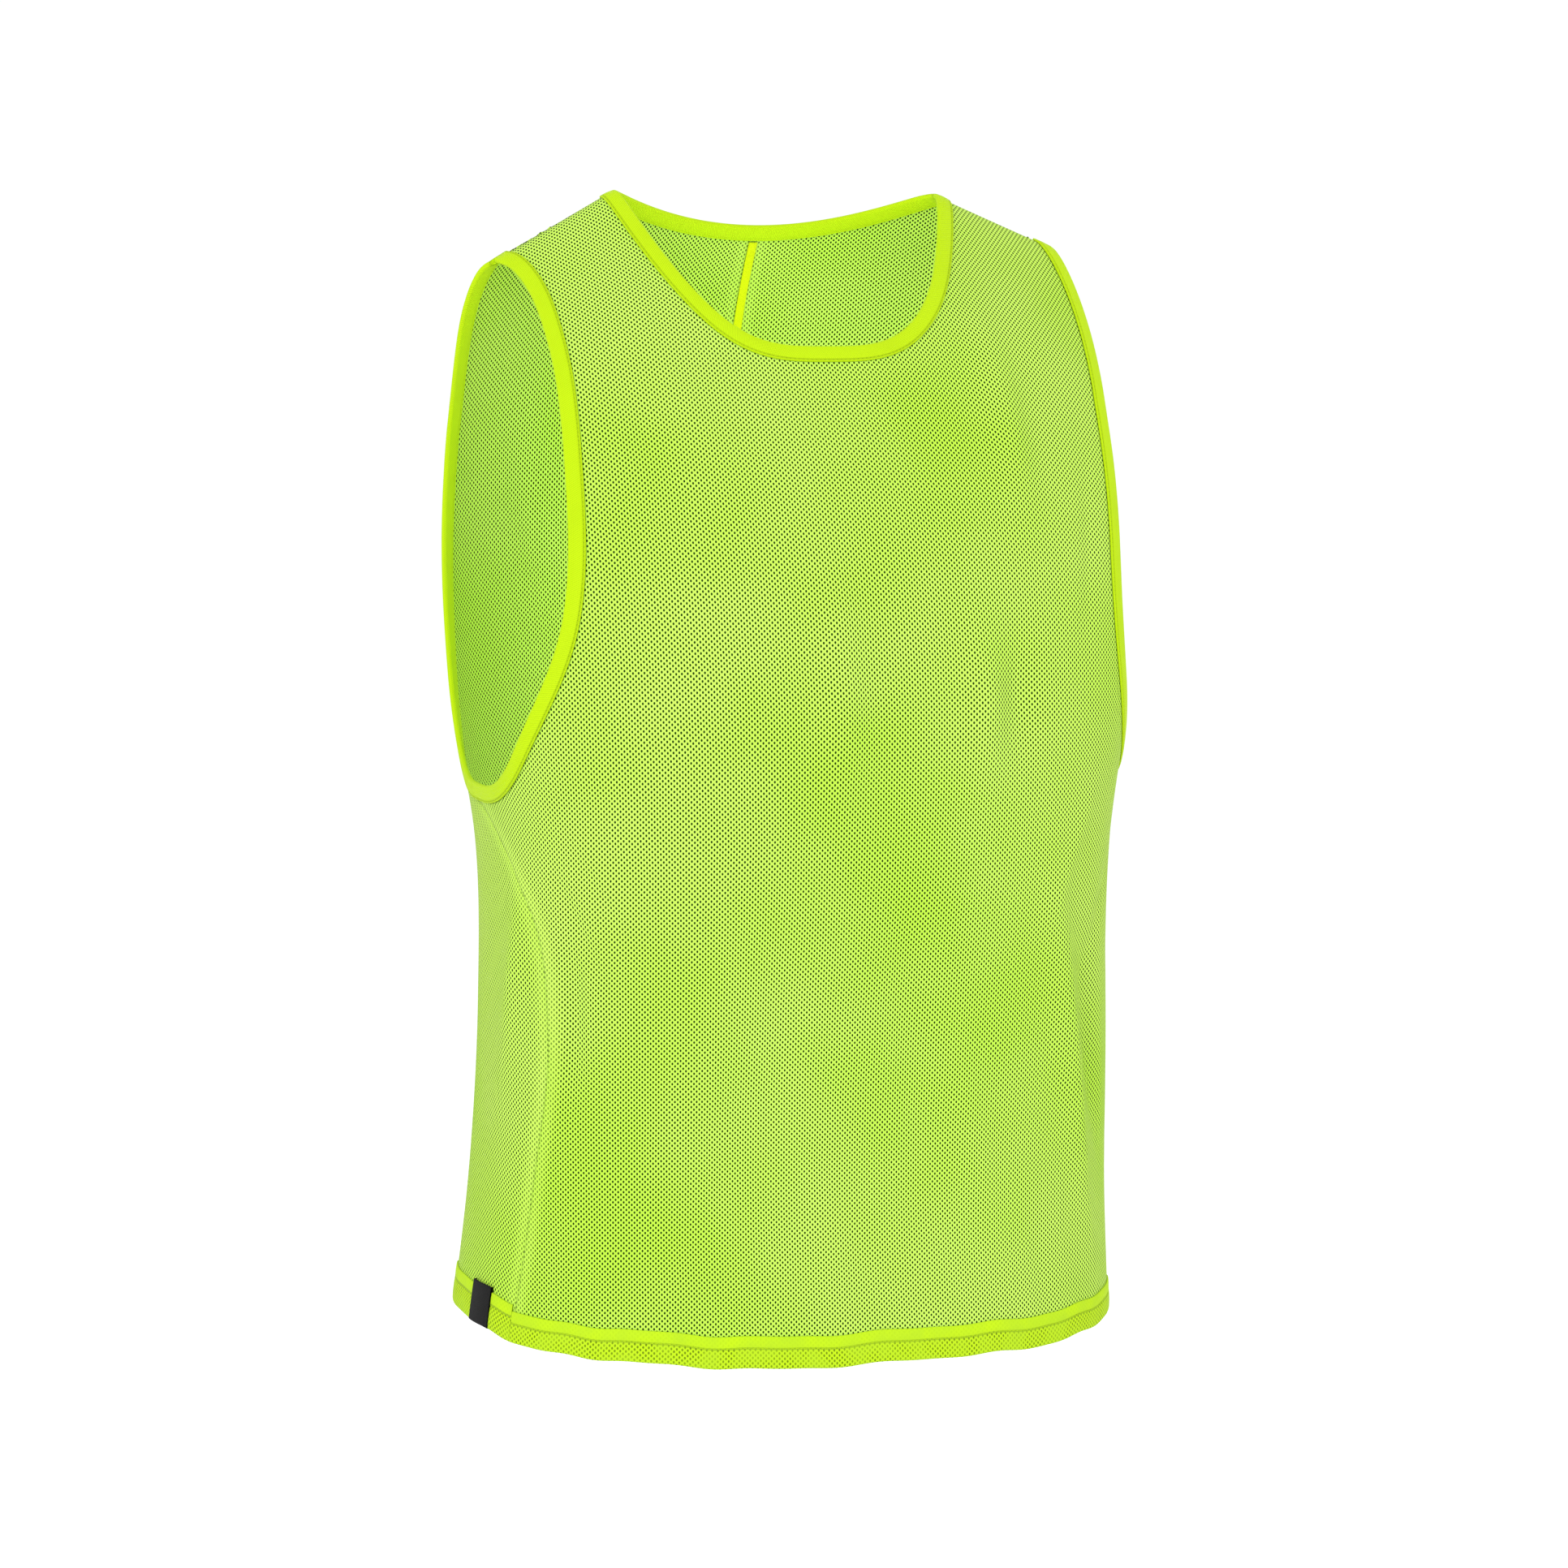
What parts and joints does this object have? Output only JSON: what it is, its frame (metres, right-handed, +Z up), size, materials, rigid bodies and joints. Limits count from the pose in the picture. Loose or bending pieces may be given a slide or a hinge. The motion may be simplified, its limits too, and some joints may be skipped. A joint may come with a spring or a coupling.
{
  "type": "training bib",
  "caption": "Sleeveless mesh training bib in its worn, hollow shape, with a round bound neck, bound armholes and a turned-up hem.",
  "frame": {"origin": "midway between the two neck points, at the top of the wearer's shoulders, where the bib hangs", "axes": "+Z up along the body, the wearer faces -Y, +X to the wearer's left"},
  "size_m": [0.4247, 0.2666, 0.706],
  "materials": {
    "mesh_cloth": "holed knit mesh, matt with a faint sheen",
    "binding_knit": "fine ribbed knit, matt",
    "tape_knit": "narrow knitted tape, matt",
    "label_satin": "woven satin label, soft sheen"
  },
  "bodies": {
    "root": {"front_panel": "mesh_cloth", "back_panel_right": "mesh_cloth", "back_panel_left": "mesh_cloth", "front_hem": "mesh_cloth", "back_hem": "mesh_cloth", "neck_binding": "binding_knit", "armhole_binding_right": "binding_knit", "armhole_binding_left": "binding_knit", "centre_back_tape": "tape_knit", "hem_label": "label_satin"}
  },
  "joints": []
}
